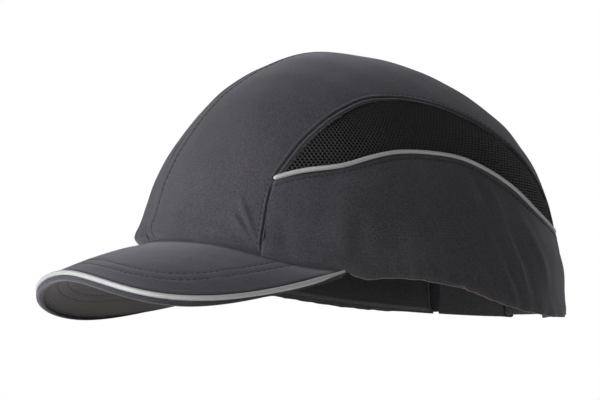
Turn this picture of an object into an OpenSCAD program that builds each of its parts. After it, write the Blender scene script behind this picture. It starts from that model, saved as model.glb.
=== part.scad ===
// Bump cap with a short peak: a fabric baseball-style cap over a hard impact shell.
// Millimetres. The front of the cap looks along -Y, +X is the wearer's left and +Z is up.
// The cap stands on the table, z = 0, on its rear hem and on both sides of its peak.

/* [Crown] */
// Half width of the crown at the rim plane
crown_half_w = 85; // [80:0.5:90]
// Reach of the crown in front of its middle
crown_front = 98.5; // [94:0.5:104]
// Reach of the crown behind its middle
crown_rear = 123.5; // [118:0.5:128]
// Height of the dome above the rim plane
crown_h = 103; // [96:0.5:110]
// Height of the rim plane, where the dome turns into the skirt
rim_z = 32.5; // [28:0.5:36]
// How far the skirt flares out at the rear hem, as a share of crown_rear
rear_flare = 0.05; // [0:0.01:0.08]
// Thickness of a sewn fabric panel with its lining
panel_t = 1; // [0.8:0.1:1.4]

/* [Peak] */
// Azimuth of the peak's corners, from the front
peak_corner_a = 72; // [60:1:78]
// Reach of the peak's edge in front of the origin
peak_reach = 137; // [128:1:150]
// Height of the peak's edge in the middle
peak_mid_z = 17.7; // [14:0.1:22]
// Thickness of the peak's stiff board
board_t = 1.6; // [1.2:0.1:2.4]
// Thickness of each fabric cover of the peak
cover_t = 0.8; // [0.6:0.1:1]
// Upward bulge of the peak between the crown and the edge
peak_camber = 2; // [0:0.5:4]

/* [Trim] */
// Diameter of the reflective piping
piping_d = 2.6; // [2:0.1:3.2]
// Height of the rolled binding under the hem
hem_h = 1.8; // [1.2:0.1:2.4]
// Height of the sweatband
sweatband_h = 28; // [24:1:34]

/* [Protection] */
// Thickness of the impact shell
shell_t = 1.8; // [1.5:0.1:2.5]
// Diameter of the shell's vent holes
vent_d = 10; // [6:0.5:12]
// Thickness of the foam pads
foam_t = 5; // [3:0.5:6]

/* [Adjuster] */
// Half width of the opening at the back, as an azimuth
arch_half_a = 12.5; // [10:0.5:14]
// Height of the top of the opening at the back
arch_top_z = 38; // [34:0.5:40]
// Outer radius of the strap's curve at mid height
strap_r = 68.2; // [68:0.1:68.5]
// Width of the strap
strap_w = 16; // [12:1:16]
// Thickness of the strap
strap_t = 1; // [0.8:0.1:1.1]
// Angle of the buckle from the middle of the back
buckle_a = 10.5; // [10:0.5:12]
// Diameter of the buckle's pin
pin_d = 2; // [1.6:0.1:2.4]

/* [Hidden] */

charcoal = "#3f3d44";
dark_cloth = "#26252a";
mesh_black = "#1b1b1e";
reflective = "#c9cbcc";
shell_plastic = "#2c2f33";
foam_grey = "#3a3a3d";
terry_black = "#1e1e21";
buckle_black = "#151517";

crown_y = 7;                // middle of the crown, behind the origin
front_bend = 1.64;          // how square the dome is in front, 2 is an ellipse
rear_bend = 2.19;
side_bend = 1.55;
plan_power = 2.15;          // how square the crown is in plan, 2 is an ellipse
hem_heights = [34.2, 30.5, 19.1, 14.4, 8.2, 3, 1.4];   // every 30 degrees from the front
arch_power = 2.6;
seam_a = 46.5;              // azimuth of the front side seam at the hem
rear_a = 158.5;             // azimuth where the mesh panel ends

seam_path = [[49, 61], [48, 52], [47.3, 40]];
mesh_top_path = [[49, 62], [56, 79], [66, 92], [81, 102], [98, 106], [115, 106], [130, 102],
    [143, 93.5], [152, 80], [157, 64], [rear_a, 45.2]];
mesh_foot_path = [[49, 61], [58, 64.7], [71, 67.9], [82, 72.2], [94, 75.6], [107, 76.7], [120, 74.9],
    [130, 69.2], [138, 61.9], [145, 53.8], [152, 48], [rear_a, 44.2]];
rear_top_path = [[rear_a, 44.2], [169, 43.2], [180, 43]];

shell_gap = 0.4;            // between the tape and the shell, and the shell and the foam
tape_gap = 0.35;
tape_t = 0.4;
tape_half_w = 0.045;        // on the chart, about 6 mm
shell_depth = panel_t + tape_gap + tape_t + shell_gap;
inner_depth = shell_depth + shell_t + shell_gap;
shell_rim_z = [42, 38, 34, 32, 32, 35, 40];               // every 30 degrees from the front
vents = [[62, 84], [86, 96], [112, 97], [136, 84], [74, 70], [100, 80], [124, 78]];
top_vents = [[90, 122], [35, 116], [145, 120]];
vent_depth = 30;

seam_allow = 1.6;           // from the edge of the peak to its covers
layer_gap = 0.1;            // between the peak's board and its covers
binding_drop = 1.3;         // top of the peak's binding, under the edge line
binding_h = 1.18;
strap_z = 10.8;             // mid height of the strap at the back
strap_tilt = 5;             // lean of the strap's circle, its ends higher than its back
strap_y = 64;               // axis of the strap's curve, behind the origin
strap_slope = 0.25;         // the strap's radius shrinks by this for each millimetre of height
strap_gap = 0.5;            // room around the strap
strap_from = -56;
strap_to = 24;
tunnel_wall = 0.6;
ear_z = 8.8;                // inner face of the buckle's ears, from mid height
ear_t = 1.4;
ear_r = 2.4;
pin_x = 6;                  // buckle pin, along the strap and out from it
pin_y = 2.3;
pin_clearance = 0.05;
lever_half_w = 8.4;
lever_reach = 17;
lever_t = 1.2;
tab_half_w = 7.6;
tab_t = 0.6;
$fn = 48;

// ---------- curves ----------

// Point on a smooth curve through the points p, at u from 0 to 1
function spline(p, u) =
    let (n = len(p) - 1, i = min(floor(u * n), n - 1), t = u * n - i)
    let (a = p[max(i - 1, 0)], b = p[i], c = p[i + 1], e = p[min(i + 2, n)])
    b + t * (c - a + t * (2 * a - 5 * b + 4 * c - e + t * (3 * b - a - 3 * c + e))) / 2;

// Height at azimuth a from a list of heights that are 30 degrees apart
function height_at(heights, a) = spline(heights, min(abs(a), 360 - abs(a)) / 180);
function hem_z(a) = height_at(hem_heights, a);

// Share of the full radius left at height share k of the dome
function dome(k, bend) = sqrt(max(0, 1 - pow(k, bend)));

// Level 1 is the top of the dome, 0 the rim plane and -1 the table
function level(z) = z > rim_z ? asin((z - rim_z) / crown_h) / 90 : z / rim_z - 1;

// Point at azimuth a and level s, at depth d under the crown's outer face
function skin(a, s, d) =
    let (k = sin(90 * max(s, 0)), flare = 1 - rear_flare * min(s, 0))
    let (front = (crown_front - d) * dome(k, front_bend))
    let (rear = (crown_rear - d) * dome(k, rear_bend) * flare)
    let (half_w = (crown_half_w - d) * dome(k, side_bend), reach = cos(a) > 0 ? front : rear)
    let (r = pow(pow(abs(cos(a)) / reach, plan_power) + pow(abs(sin(a)) / half_w, plan_power), -1 / plan_power))
    [r * sin(a), crown_y - r * cos(a), s > 0 ? rim_z + (crown_h - d) * k : rim_z * (1 + s)];
function skin_z(a, z, d) = skin(a, level(z), d);

// The chart is the crown seen from above and flattened: the apex is its origin
function chart(a, z) = (1 - level(z)) * [sin(a), -cos(a)];
function on_crown(c, d) =
    norm(c) < 0.001 ? [0, crown_y, rim_z + crown_h - d] : skin(atan2(c.x, -c.y), 1 - norm(c), d);

// Rows of chart points that fill the space between four edges
function patch(foot, head, first, last) =
    let (m = len(foot) - 1, n = len(first) - 1)
    [for (r = [0:n]) [for (c = [0:m])
        let (u = c / m, v = r / n)
        (1 - v) * foot[c] + v * head[c] + (1 - u) * first[r] + u * last[r]
            - (1 - v) * ((1 - u) * foot[0] + u * foot[m]) - v * ((1 - u) * head[0] + u * head[m])]];

function lay(rows, d) = [for (r = rows) [for (c = r) on_crown(c, d)]];
function chart_path(path, n) = [for (i = [0:n]) let (p = spline(path, i / n)) chart(p[0], p[1])];

// ---------- builders ----------

// Closed thin solid between two sheets of points with the same rows and columns
module slab(outer, inner) {
    rows = len(outer);
    cols = len(outer[0]);
    half = rows * cols;
    sheet = [for (r = [0:rows - 2], c = [0:cols - 2]) let (i = r * cols + c)
        each [[i, i + cols, i + cols + 1], [i, i + cols + 1, i + 1]]];
    rim = concat([for (c = [0:cols - 2]) [c, c + 1]],
        [for (r = [0:rows - 2]) [r * cols + cols - 1, (r + 2) * cols - 1]],
        [for (c = [cols - 1:-1:1]) [half - cols + c, half - cols + c - 1]],
        [for (r = [rows - 1:-1:1]) [r * cols, (r - 1) * cols]]);
    polyhedron(points = [for (s = [outer, inner]) each [for (r = s) each r]],
        faces = concat(sheet,
            [for (f = sheet) [f[2] + half, f[1] + half, f[0] + half]],
            [for (e = rim) each [[e[0], e[1], e[1] + half], [e[0], e[1] + half, e[0] + half]]]));
}

function unit(v) = v / norm(v);

// Solid swept along a list of points. Each profile point is [toward side, upward] and
// side gives the sideways direction at each point of the path
module sweep(path, side, profile) {
    n = len(path);
    m = len(profile);
    rings = [for (i = [0:n - 1])
        let (t = unit(path[min(i + 1, n - 1)] - path[max(i - 1, 0)]))
        let (up = unit(cross(side[i], t)), out = cross(t, up))
        [for (p = profile) path[i] + p[0] * out + p[1] * up]];
    polyhedron(points = [for (r = rings) each r],
        faces = concat(
            [for (i = [0:n - 2], j = [0:m - 1]) let (a = i * m + j, b = i * m + (j + 1) % m)
                each [[a, b, b + m], [a, b + m, a + m]]],
            [[for (j = [m - 1:-1:0]) j], [for (j = [0:m - 1]) (n - 1) * m + j]]));
}

function circle_profile(r) = [for (i = [0:7]) r / cos(22.5) * [cos(45 * i + 22.5), sin(45 * i + 22.5)]];

module on_right() { mirror([1, 0, 0]) children(); }

// ---------- fabric crown ----------

seam_n = 8;
mesh_n = 20;
rear_n = 8;
front_n = 10;

seam_points = [for (i = [0:seam_n]) let (p = spline(concat(seam_path, [[seam_a, hem_z(seam_a)]]), 1 - i / seam_n))
    chart(p[0], p[1])];
mesh_top = chart_path(mesh_top_path, mesh_n);
mesh_foot = chart_path(mesh_foot_path, mesh_n);
rear_top = chart_path(rear_top_path, rear_n);

// Opening at the back, from its corner on the hem at 0 to its top at 90
function arch(t) =
    let (low = hem_z(180 - arch_half_a), k = 2 / arch_power)
    [180 - arch_half_a * pow(cos(t), k), low + (arch_top_z - low) * pow(sin(t), k)];

module crown_half() {
    side_edge = concat(seam_points, mesh_top);
    n = len(side_edge) - 1;
    front_edge = [for (i = [0:front_n]) let (a = seam_a * i / front_n) chart(a, hem_z(a))];
    rear_edge = [for (i = [front_n:-1:0]) let (p = spline(rear_top_path, 1 - i / front_n)) chart(p[0], p[1])];
    middle_edge = [for (i = [0:n]) (1 - i / n) * front_edge[0] + i / n * chart(180, rear_top_path[2][1])];
    rear_inward = [for (i = [0:front_n]) i == front_n ? side_edge[n] : rear_edge[front_n - i]];
    rows = patch(middle_edge, side_edge, front_edge, rear_inward);
    slab(lay(rows, 0), lay(rows, panel_t));
}

module mesh_half() {
    first = [for (i = [0:3]) mesh_foot[0] + (mesh_top[0] - mesh_foot[0]) * i / 3];
    last = [for (i = [0:3]) mesh_foot[mesh_n] + (mesh_top[mesh_n] - mesh_foot[mesh_n]) * i / 3];
    rows = patch(mesh_top, mesh_foot, [for (i = [3:-1:0]) first[i]], [for (i = [3:-1:0]) last[i]]);
    slab(lay(rows, 0), lay(rows, panel_t));
}

side_head = concat(mesh_foot, [for (i = [1:rear_n]) rear_top[i]]);
arch_n = 10;
side_foot = concat(
    [for (i = [0:mesh_n + rear_n - arch_n]) let (a = seam_a + (180 - arch_half_a - seam_a) * i / (mesh_n + rear_n - arch_n))
        chart(a, hem_z(a))],
    [for (i = [1:arch_n]) let (p = arch(90 * i / arch_n)) chart(p[0], p[1])]);

module side_half() {
    back = [for (i = [0:seam_n]) chart(180, rear_top_path[2][1] + (arch_top_z - rear_top_path[2][1]) * i / seam_n)];
    rows = patch(side_head, side_foot, [for (i = [seam_n:-1:0]) seam_points[i]], back);
    slab(lay(rows, 0), lay(rows, panel_t));
}

// Path and outward directions along chart points, at depth d
function crown_run(points, d) = [for (c = points) on_crown(c, d)];
function outward(points) = [for (c = points) unit(on_crown(c, 0) - on_crown(c, 2))];

module piping_half() {
    n = 40;
    run = concat(chart_path(mesh_foot_path, n),
        [for (i = [1:8]) let (p = spline(rear_top_path, 0.99 * i / 8)) chart(p[0], p[1])]);
    sweep(crown_run(run, -piping_d / 2 - 0.04), outward(run), circle_profile(piping_d / 2));
}

// Half-round roll under an edge, with its flat top close to the edge
function roll_profile(w, h) =
    [[-w, -0.06], [-w, -0.45 * h], [-0.55 * w, -h], [0.55 * w, -h], [w, -0.45 * h], [w, -0.06]];

module hem_half() {
    n = 26;
    run = [for (i = [0:n]) let (a = peak_corner_a + 1 + (179 - arch_half_a - peak_corner_a) * i / n) chart(a, hem_z(a))];
    sweep(crown_run(run, panel_t / 2), outward(run), roll_profile(1, hem_h));
}

module arch_roll() {
    half_run = [for (i = [0:arch_n]) i == 0 ? 0.5 * (arch(0) + arch(90 / arch_n)) : arch(90 * i / arch_n)];
    run = concat([for (p = half_run) chart(p[0], p[1])],
        [for (i = [arch_n - 1:-1:0]) chart(360 - half_run[i][0], half_run[i][1])]);
    sweep(crown_run(run, panel_t / 2), outward(run), roll_profile(1, 1.6));
}

module crown_panel_left() { color(charcoal) crown_half(); }
module crown_panel_right() { color(charcoal) on_right() crown_half(); }
module mesh_panel_left() { color(mesh_black) mesh_half(); }
module mesh_panel_right() { color(mesh_black) on_right() mesh_half(); }
module side_panel_left() { color(charcoal) side_half(); }
module side_panel_right() { color(charcoal) on_right() side_half(); }
module side_piping_left() { color(reflective) piping_half(); }
module side_piping_right() { color(reflective) on_right() piping_half(); }
module hem_binding_left() { color(dark_cloth) hem_half(); }
module hem_binding_right() { color(dark_cloth) on_right() hem_half(); }
module arch_binding() { color(dark_cloth) arch_roll(); }

// Tape over the inside of the middle seam
module crown_seam_tape() {
    n = 36;
    front = 1 - level(hem_heights[0] + 2);
    rear = 1 - level(rear_top_path[2][1] + 2);
    rows = [for (i = [0:n]) [for (j = [-1:1]) [tape_half_w * j, -front + (front + rear) * i / n]]];
    color(dark_cloth) slab(lay(rows, panel_t + tape_gap), lay(rows, panel_t + tape_gap + tape_t));
}

// ---------- protection ----------

// Square grid point pulled into a disc when round is 1, or into a soft rectangle below that
function softened(x, y, round) = [x * sqrt(1 - round * y * y / 2), y * sqrt(1 - round * x * x / 2)];

module shell_body() {
    n = 26;
    rows = [for (i = [0:n]) [for (j = [0:n])
        let (p = softened(2 * i / n - 1, 2 * j / n - 1, 1), a = atan2(p.x, -p.y))
        p * (1 - level(height_at(shell_rim_z, a)))]];
    slab(lay(rows, shell_depth), lay(rows, shell_depth + shell_t));
}

// Hole through the shell, square to its surface
module vent(a, z) {
    p = skin_z(a, z, 0);
    n = unit(cross(skin_z(a + 1, z, 0) - skin_z(a - 1, z, 0), skin_z(a, z + 1, 0) - skin_z(a, z - 1, 0)));
    translate(p)
        rotate([0, acos(n.z), atan2(n.y, n.x)])
            cylinder(d = vent_d, h = vent_depth, center = true);
}

module impact_shell() {
    color(shell_plastic)
        difference() {
            shell_body();
            for (v = concat(vents, top_vents), side = [-1, 1]) vent(side * v[0], v[1]);
        }
}

// Foam pad under the shell, centred on a chart point, with soft corners and thin edges
module pad(c, half_w, half_h, round) {
    n = 8;
    rows = [for (i = [0:n]) [for (j = [0:n])
        let (p = softened(2 * i / n - 1, 2 * j / n - 1, round)) c + [half_w * p.x, half_h * p.y]]];
    inner = [for (i = [0:n]) [for (j = [0:n])
        let (x = 2 * i / n - 1, y = 2 * j / n - 1)
        on_crown(rows[i][j], inner_depth + 1 + (foam_t - 1) * (1 - pow(x, 6)) * (1 - pow(y, 6)))]];
    slab(lay(rows, inner_depth), inner);
}

module crown_pad() { color(foam_grey) pad([0, 0.05], 0.3, 0.38, 1); }
module front_pad() { color(foam_grey) pad([0, -0.7], 0.26, 0.08, 0.5); }
module rear_pad() { color(foam_grey) pad([0, 0.66], 0.24, 0.11, 0.5); }
module side_pad_left() { color(foam_grey) pad([0.66, 0.06], 0.1, 0.3, 0.5); }
module side_pad_right() { color(foam_grey) on_right() pad([0.66, 0.06], 0.1, 0.3, 0.5); }

// Sewn tab that holds the shell's rear rim
module shell_tab() {
    rows = [for (i = [0:6]) [for (j = [0:3]) chart(152 + 10 * j / 3, 40 + 24 * i / 6)]];
    slab(lay([for (i = [6:-1:0]) rows[i]], inner_depth), lay([for (i = [6:-1:0]) rows[i]], inner_depth + 0.6));
}
module shell_tab_left() { color(dark_cloth) shell_tab(); }
module shell_tab_right() { color(dark_cloth) on_right() shell_tab(); }

// Band around the forehead, sewn to the hem and open at the back
module sweatband() {
    n = 48;
    end_a = 146;
    steps = [[0.03, 1.2], [0.12, 4.3], [0.4, 4.6], [0.7, 4.6], [1, 4.6]];
    thick = 1.7;
    function band(extra) = [for (i = [4:-1:0]) [for (j = [0:n])
        let (a = -end_a + 2 * end_a * j / n)
        skin_z(a, hem_z(a) + 1 + sweatband_h * steps[i][0], steps[i][1] + extra)]];
    color(terry_black) slab(band(0), band(thick));
}

// ---------- peak ----------

peak_edge_points = [skin_z(peak_corner_a, hem_z(peak_corner_a), 0), [102, -124, -16],
    [75.5, -peak_reach, peak_mid_z], [0, -peak_reach, peak_mid_z]];

// Edge of the peak at u from -1, the right corner, to 1, the left corner
function peak_edge(u) =
    let (t = 1 - abs(u), b = peak_edge_points)
    let (p = pow(1 - t, 3) * b[0] + 3 * pow(1 - t, 2) * t * b[1] + 3 * (1 - t) * t * t * b[2] + pow(t, 3) * b[3])
    [sign(u) * p.x, p.y, p.z];
// Level outward direction along the edge of the peak
function edge_out(u) =
    let (t = peak_edge(min(u + 0.01, 1)) - peak_edge(max(u - 0.01, -1)))
    unit([t.y, -t.x, 0]);
function peak_root(u) = skin_z(peak_corner_a * u, hem_z(peak_corner_a * u), panel_t + 0.05);

// Point on the peak from its root, v = 0, to its edge, v = 1, a drop below the top face
function peak_at(u, v, drop) =
    let (root = peak_root(u), edge = peak_edge(u), way = edge - root)
    let (lean = max(0.3, unit([way.x, way.y, 0]) * edge_out(u)))
    let (end = edge - min(seam_allow / lean, 0.7 * norm(way)) * unit(way) + [0, 0, 0.5])
    (1 - v) * root + v * end + [0, 0, peak_camber * sin(180 * v) * (1 - pow(u, 4)) - drop];

module peak_layer(top, thick, reach) {
    nu = 30;
    nv = 5;
    function rows(drop) = [for (i = [0:nv]) [for (j = [0:nu])
        peak_at(0.96 * (2 * j / nu - 1), reach * i / nv, drop)]];
    slab(rows(top), rows(top + thick));
}

board_drop = cover_t + layer_gap;
module peak_cover_top() { color(charcoal) peak_layer(0, cover_t, 1); }
module peak_board() { color(shell_plastic) peak_layer(board_drop, board_t, 0.98); }
module peak_cover_under() { color(dark_cloth) peak_layer(board_drop + board_t + layer_gap, cover_t, 0.96); }

module peak_trim(profile) {
    n = 48;
    run = [for (i = [0:n]) 0.985 * (2 * i / n - 1)];
    sweep([for (u = run) peak_edge(u)], [for (u = run) edge_out(u)], profile);
}

module peak_piping() { color(reflective) peak_trim(circle_profile(piping_d / 2)); }
module peak_binding() {
    low = binding_drop + binding_h;
    color(dark_cloth) peak_trim([[-1.2, -low], [-0.8, -low], [0.5, -low], [1.1, -low + 0.4], [1.1, -binding_drop - 0.2],
        [0.9, -binding_drop], [-1.2, -binding_drop]]);
}

// ---------- size adjuster at the back ----------

// Leans the strap and its buckle, turning them about the middle of the back
module tilted() {
    pivot = [0, strap_y + strap_r, strap_z];
    translate(pivot) rotate([-strap_tilt, 0, 0]) translate(-pivot) children();
}

// Cone-shaped band around the strap's axis. Radii hold at the strap's mid height, heights
// are measured from it, and angles from the middle of the back toward the left
module strap_arc(outer, inner, low, high, from, to) {
    function at(r, z) = [r - strap_slope * z, strap_z + z];
    tilted()
        translate([0, strap_y, 0])
            rotate([0, 0, 90 - to])
                rotate_extrude(angle = to - from, $fn = 180)
                    polygon([at(inner, low), at(outer, low), at(outer, high), at(inner, high)]);
}

strap_in = strap_r - strap_t;
strap_half = strap_w / 2;

module adjuster_strap() {
    color(dark_cloth) strap_arc(strap_r, strap_in, -strap_half, strap_half, strap_from, strap_to);
}

// Channel that the strap slides in, open toward the side panel
module strap_tunnel(from, to) {
    low = strap_half + strap_gap;
    wall = strap_in - strap_gap;
    strap_arc(wall, wall - tunnel_wall, -low - tunnel_wall, low + tunnel_wall, from, to);
    strap_arc(strap_r, wall, -low - tunnel_wall, -low, from, to);
    strap_arc(strap_r, wall, low, low + tunnel_wall, from, to);
}
module strap_tunnel_left() { color(dark_cloth) strap_tunnel(31, 56); }
module strap_tunnel_right() { color(dark_cloth) strap_tunnel(-58, -25); }

// Frame of the buckle: x along the strap, y out from the head, z up along the strap's lean
module at_buckle() {
    tilted()
        translate([0, strap_y, 0])
            rotate([0, 0, -buckle_a])
                translate([0, strap_r, strap_z])
                    rotate([atan(strap_slope), 0, 0])
                        children();
}

// Point beside the strap in the buckle's frame, y out from the strap's outer face
function beside(x, y) = [x, y - x * x / (2 * strap_r)];

// Outline that follows the strap from x = from to x = to, between two distances
module along_strap(from, to, low, high) {
    n = 6;
    step = (to - from) / n;
    polygon(concat([for (i = [0:n]) beside(from + i * step, low)],
        [for (i = [n:-1:0]) beside(from + i * step, high)]));
}

module buckle_frame() {
    base = -strap_t - 0.6;
    base_t = 1.2;
    half = 9;
    bar_from = 11;
    bar_to = 13.2;
    bar_out = -3.1;
    color(buckle_black)
        at_buckle() {
            translate([0, 0, -ear_z])
                linear_extrude(2 * ear_z) {
                    along_strap(-half, half, base - base_t, base);
                    along_strap(bar_from, bar_to, bar_out - 1, bar_out);
                }
            for (low = [-ear_z - ear_t, ear_z])
                translate([0, 0, low])
                    linear_extrude(ear_t)
                        difference() {
                            union() {
                                along_strap(-half, half, base - base_t, 1);
                                along_strap(half - 2, bar_to, bar_out - 1, base);
                                translate([pin_x, pin_y])
                                    circle(r = ear_r);
                            }
                            translate([pin_x, pin_y])
                                circle(d = pin_d);
                        }
        }
}

module buckle_pin() {
    color(reflective)
        at_buckle()
            translate([pin_x, pin_y, -ear_z - ear_t])
                cylinder(d = pin_d, h = 2 * (ear_z + ear_t));
}

// Cam lever, shown shut: its nose is close to the strap
module buckle_lever() {
    hub_r = pin_d / 2 + 0.9;
    nose = 0.2;
    color(buckle_black)
        at_buckle()
            difference() {
                translate([0, 0, -lever_half_w])
                    linear_extrude(2 * lever_half_w) {
                        translate([pin_x, pin_y])
                            circle(r = hub_r);
                        translate([pin_x, pin_y - nose])
                            circle(r = hub_r - 0.1);
                        translate([pin_x - lever_reach + 2, pin_y + hub_r - lever_t])
                            square([lever_reach - 2, lever_t]);
                        translate([pin_x - lever_reach + 2, pin_y + hub_r - lever_t / 2 + 0.2])
                            circle(r = 0.8);
                    }
                translate([pin_x, pin_y, -strap_w])
                    cylinder(r = pin_d / 2 + pin_clearance, h = 2 * strap_w);
            }
}

// Webbing loop through the buckle's bar, sewn to the left strap tunnel
module buckle_anchor_tab() {
    outer = strap_in - strap_gap - tunnel_wall - 0.04;
    inner = outer - 3;
    from = buckle_a + 8;
    color(dark_cloth) {
        strap_arc(outer, outer - tab_t, -tab_half_w, tab_half_w, from, 38);
        strap_arc(inner + tab_t, inner, -tab_half_w, tab_half_w, from, 38);
        strap_arc(outer - tab_t, inner + tab_t, -tab_half_w, tab_half_w, from, from + 0.5);
        strap_arc(outer - tab_t, inner + tab_t, -tab_half_w, tab_half_w, 35, 38);
    }
}

crown_panel_left();
crown_panel_right();
mesh_panel_left();
mesh_panel_right();
side_panel_left();
side_panel_right();
side_piping_left();
side_piping_right();
hem_binding_left();
hem_binding_right();
arch_binding();
crown_seam_tape();
peak_cover_top();
peak_board();
peak_cover_under();
peak_piping();
peak_binding();
sweatband();
impact_shell();
crown_pad();
front_pad();
rear_pad();
side_pad_left();
side_pad_right();
shell_tab_left();
shell_tab_right();
strap_tunnel_left();
strap_tunnel_right();
adjuster_strap();
buckle_frame();
buckle_lever();
buckle_pin();
buckle_anchor_tab();
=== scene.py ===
"""Looks of a bump cap: sewn cloth over a hard shell, mesh sides, reflective piping, size strap.

Lengths are millimetres until a mesh is made, in the CAD frame: the front looks along -Y,
+X is the wearer's left and +Z is up. A place on the crown is an azimuth (0 in front,
growing toward the left, 180 behind) with a height, or a point on the chart, which is the
crown seen from above and flattened, with the apex at its origin.
"""

import math

import bmesh
import bpy
import numpy as np
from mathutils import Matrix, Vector, bvhtree, kdtree


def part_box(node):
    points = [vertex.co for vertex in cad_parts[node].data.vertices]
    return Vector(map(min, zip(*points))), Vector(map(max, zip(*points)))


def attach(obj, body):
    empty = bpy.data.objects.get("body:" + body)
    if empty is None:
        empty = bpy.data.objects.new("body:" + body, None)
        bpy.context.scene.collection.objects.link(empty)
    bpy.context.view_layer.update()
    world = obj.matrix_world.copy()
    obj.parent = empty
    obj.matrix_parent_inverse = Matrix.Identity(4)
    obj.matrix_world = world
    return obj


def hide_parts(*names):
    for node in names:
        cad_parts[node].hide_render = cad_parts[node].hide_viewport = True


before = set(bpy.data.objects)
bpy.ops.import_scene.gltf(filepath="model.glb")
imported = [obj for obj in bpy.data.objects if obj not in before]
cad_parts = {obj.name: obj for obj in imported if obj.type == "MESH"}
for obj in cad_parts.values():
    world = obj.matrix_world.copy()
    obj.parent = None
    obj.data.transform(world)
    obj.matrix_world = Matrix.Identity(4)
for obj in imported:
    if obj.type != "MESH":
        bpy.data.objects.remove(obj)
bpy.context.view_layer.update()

MM = 0.001
LEFT, RIGHT = 1, -1
SIDE_NAME = {LEFT: "left", RIGHT: "right"}

# -------------------- driving dimensions

CROWN_HALF_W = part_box("side_panel_left")[1].x / MM
CROWN_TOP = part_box("crown_panel_left")[1].z / MM
CROWN_FRONT = 98.5
CROWN_REAR = 123.5
RIM_Z = 32.5
CROWN_H = CROWN_TOP - RIM_Z
CROWN_Y = 7
REAR_FLARE = 0.05
FRONT_BEND, REAR_BEND, SIDE_BEND, PLAN_POWER = 1.64, 2.19, 1.55, 2.15
PANEL_T = 1.0

HEM_HEIGHTS = [34.2, 30.5, 19.1, 14.4, 8.2, 3, 1.4]   # every 30 degrees from the front
SEAM_A = 46.5
REAR_A = 158.5
ARCH_HALF_A, ARCH_TOP_Z, ARCH_POWER = 12.5, 38, 2.6
SEAM_PATH = [[SEAM_A, 26.2], [47.3, 40], [48, 52], [49, 61]]
MESH_TOP_PATH = [[49, 62], [56, 79], [66, 92], [81, 102], [98, 106], [115, 106], [130, 102],
                 [143, 93.5], [152, 80], [157, 64], [REAR_A, 45.2]]
MESH_FOOT_PATH = [[49, 61], [58, 64.7], [71, 67.9], [82, 72.2], [94, 75.6], [107, 76.7],
                  [120, 74.9], [130, 69.2], [138, 61.9], [145, 53.8], [152, 48], [REAR_A, 44.2]]
REAR_TOP_PATH = [[REAR_A, 44.2], [169, 43.2], [180, 43]]

PEAK_CORNER_A = 72
PEAK_REACH = 137
PEAK_MID_Z = 17.7
PEAK_CAMBER = 2
PIPING_R = 1.3
SIDE_STITCH, MIDDLE_STITCH, PIPING_STITCH = 2.35, 7.6, 3.5   # stitch rows, from their seam

# The soft hem doesn't hang level: azimuth and how far it stands above the CAD's hem
HEM_SAG = {
    LEFT: [[72, -0.8], [79, -2.6], [88, -0.3], [97, 0.9], [106, 1.0], [113, 1.6], [118, -0.3],
           [127, -2.8], [137, -4.2], [150, -4.2], [167, -1.6], [180, -0.6]],
    RIGHT: [[72, 0], [120, 0], [132, 0.6], [140, 1.6], [148, 2.8], [156, 1.8], [164, 0.8],
            [172, -0.4], [180, -0.6]],
}


# -------------------- curves on the crown

def spline(points, u):
    """Points on a smooth curve through points, at each u from 0 to 1."""
    p = np.asarray(points, float)
    u = np.asarray(u, float)
    n = len(p) - 1
    i = np.clip(np.floor(u * n).astype(int), 0, n - 1)
    t = u * n - i
    if p.ndim > 1:
        t = t[..., None]
    a, b, c, e = p[np.maximum(i - 1, 0)], p[i], p[i + 1], p[np.minimum(i + 2, n)]
    return b + t * (c - a + t * (2 * a - 5 * b + 4 * c - e + t * (3 * b - a - 3 * c + e))) / 2


def fold_azimuth(a):
    a = np.abs(np.asarray(a, float))
    return np.minimum(a, 360 - a)


def hem_z(a):
    return spline(HEM_HEIGHTS, fold_azimuth(a) / 180)


def hem_sag(a, side):
    table = np.array(HEM_SAG[side], float)
    return np.interp(fold_azimuth(a), table[:, 0], table[:, 1])


def level(z):
    z = np.asarray(z, float)
    up = np.degrees(np.arcsin(np.clip((z - RIM_Z) / CROWN_H, 0, 1))) / 90
    return np.where(z > RIM_Z, up, z / RIM_Z - 1)


def dome(k, bend):
    return np.sqrt(np.maximum(0, 1 - k ** bend))


def skin(a, s, d=0.0):
    """Point at azimuth a and level s (1 apex, 0 rim, -1 table), d under the outer face."""
    a, s, d = np.broadcast_arrays(np.asarray(a, float), np.asarray(s, float), np.asarray(d, float))
    k = np.sin(np.radians(90 * np.clip(s, 0, 0.9999)))
    flare = 1 - REAR_FLARE * np.minimum(s, 0)
    ca, sa = np.cos(np.radians(a)), np.sin(np.radians(a))
    reach = np.where(ca > 0, (CROWN_FRONT - d) * dome(k, FRONT_BEND),
                     (CROWN_REAR - d) * dome(k, REAR_BEND) * flare)
    half_w = (CROWN_HALF_W - d) * dome(k, SIDE_BEND)
    r = ((np.abs(ca) / reach) ** PLAN_POWER
         + (np.abs(sa) / half_w) ** PLAN_POWER) ** (-1 / PLAN_POWER)
    z = np.where(s > 0, RIM_Z + (CROWN_H - d) * k, RIM_Z * (1 + s))
    return np.stack([r * sa, CROWN_Y - r * ca, z], -1)


def chart(a, z):
    """Chart point at an azimuth and a height."""
    a = np.radians(np.asarray(a, float))
    q = 1 - level(z)
    return np.stack([q * np.sin(a), -q * np.cos(a)], -1)


def azimuth_of(c):
    return np.degrees(np.arctan2(c[..., 0], -c[..., 1]))


def on_crown(c, d=0.0):
    """Point on the crown for a chart point, d under the outer face."""
    c = np.asarray(c, float)
    q = np.maximum(np.hypot(c[..., 0], c[..., 1]), 1e-4)
    return skin(azimuth_of(c), 1 - q, d)


def curve(path, n, start=0.0, stop=1.0):
    """n chart points on the smooth curve through a path of [azimuth, height]."""
    return chart(*spline(path, np.linspace(start, stop, n)).T)


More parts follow.
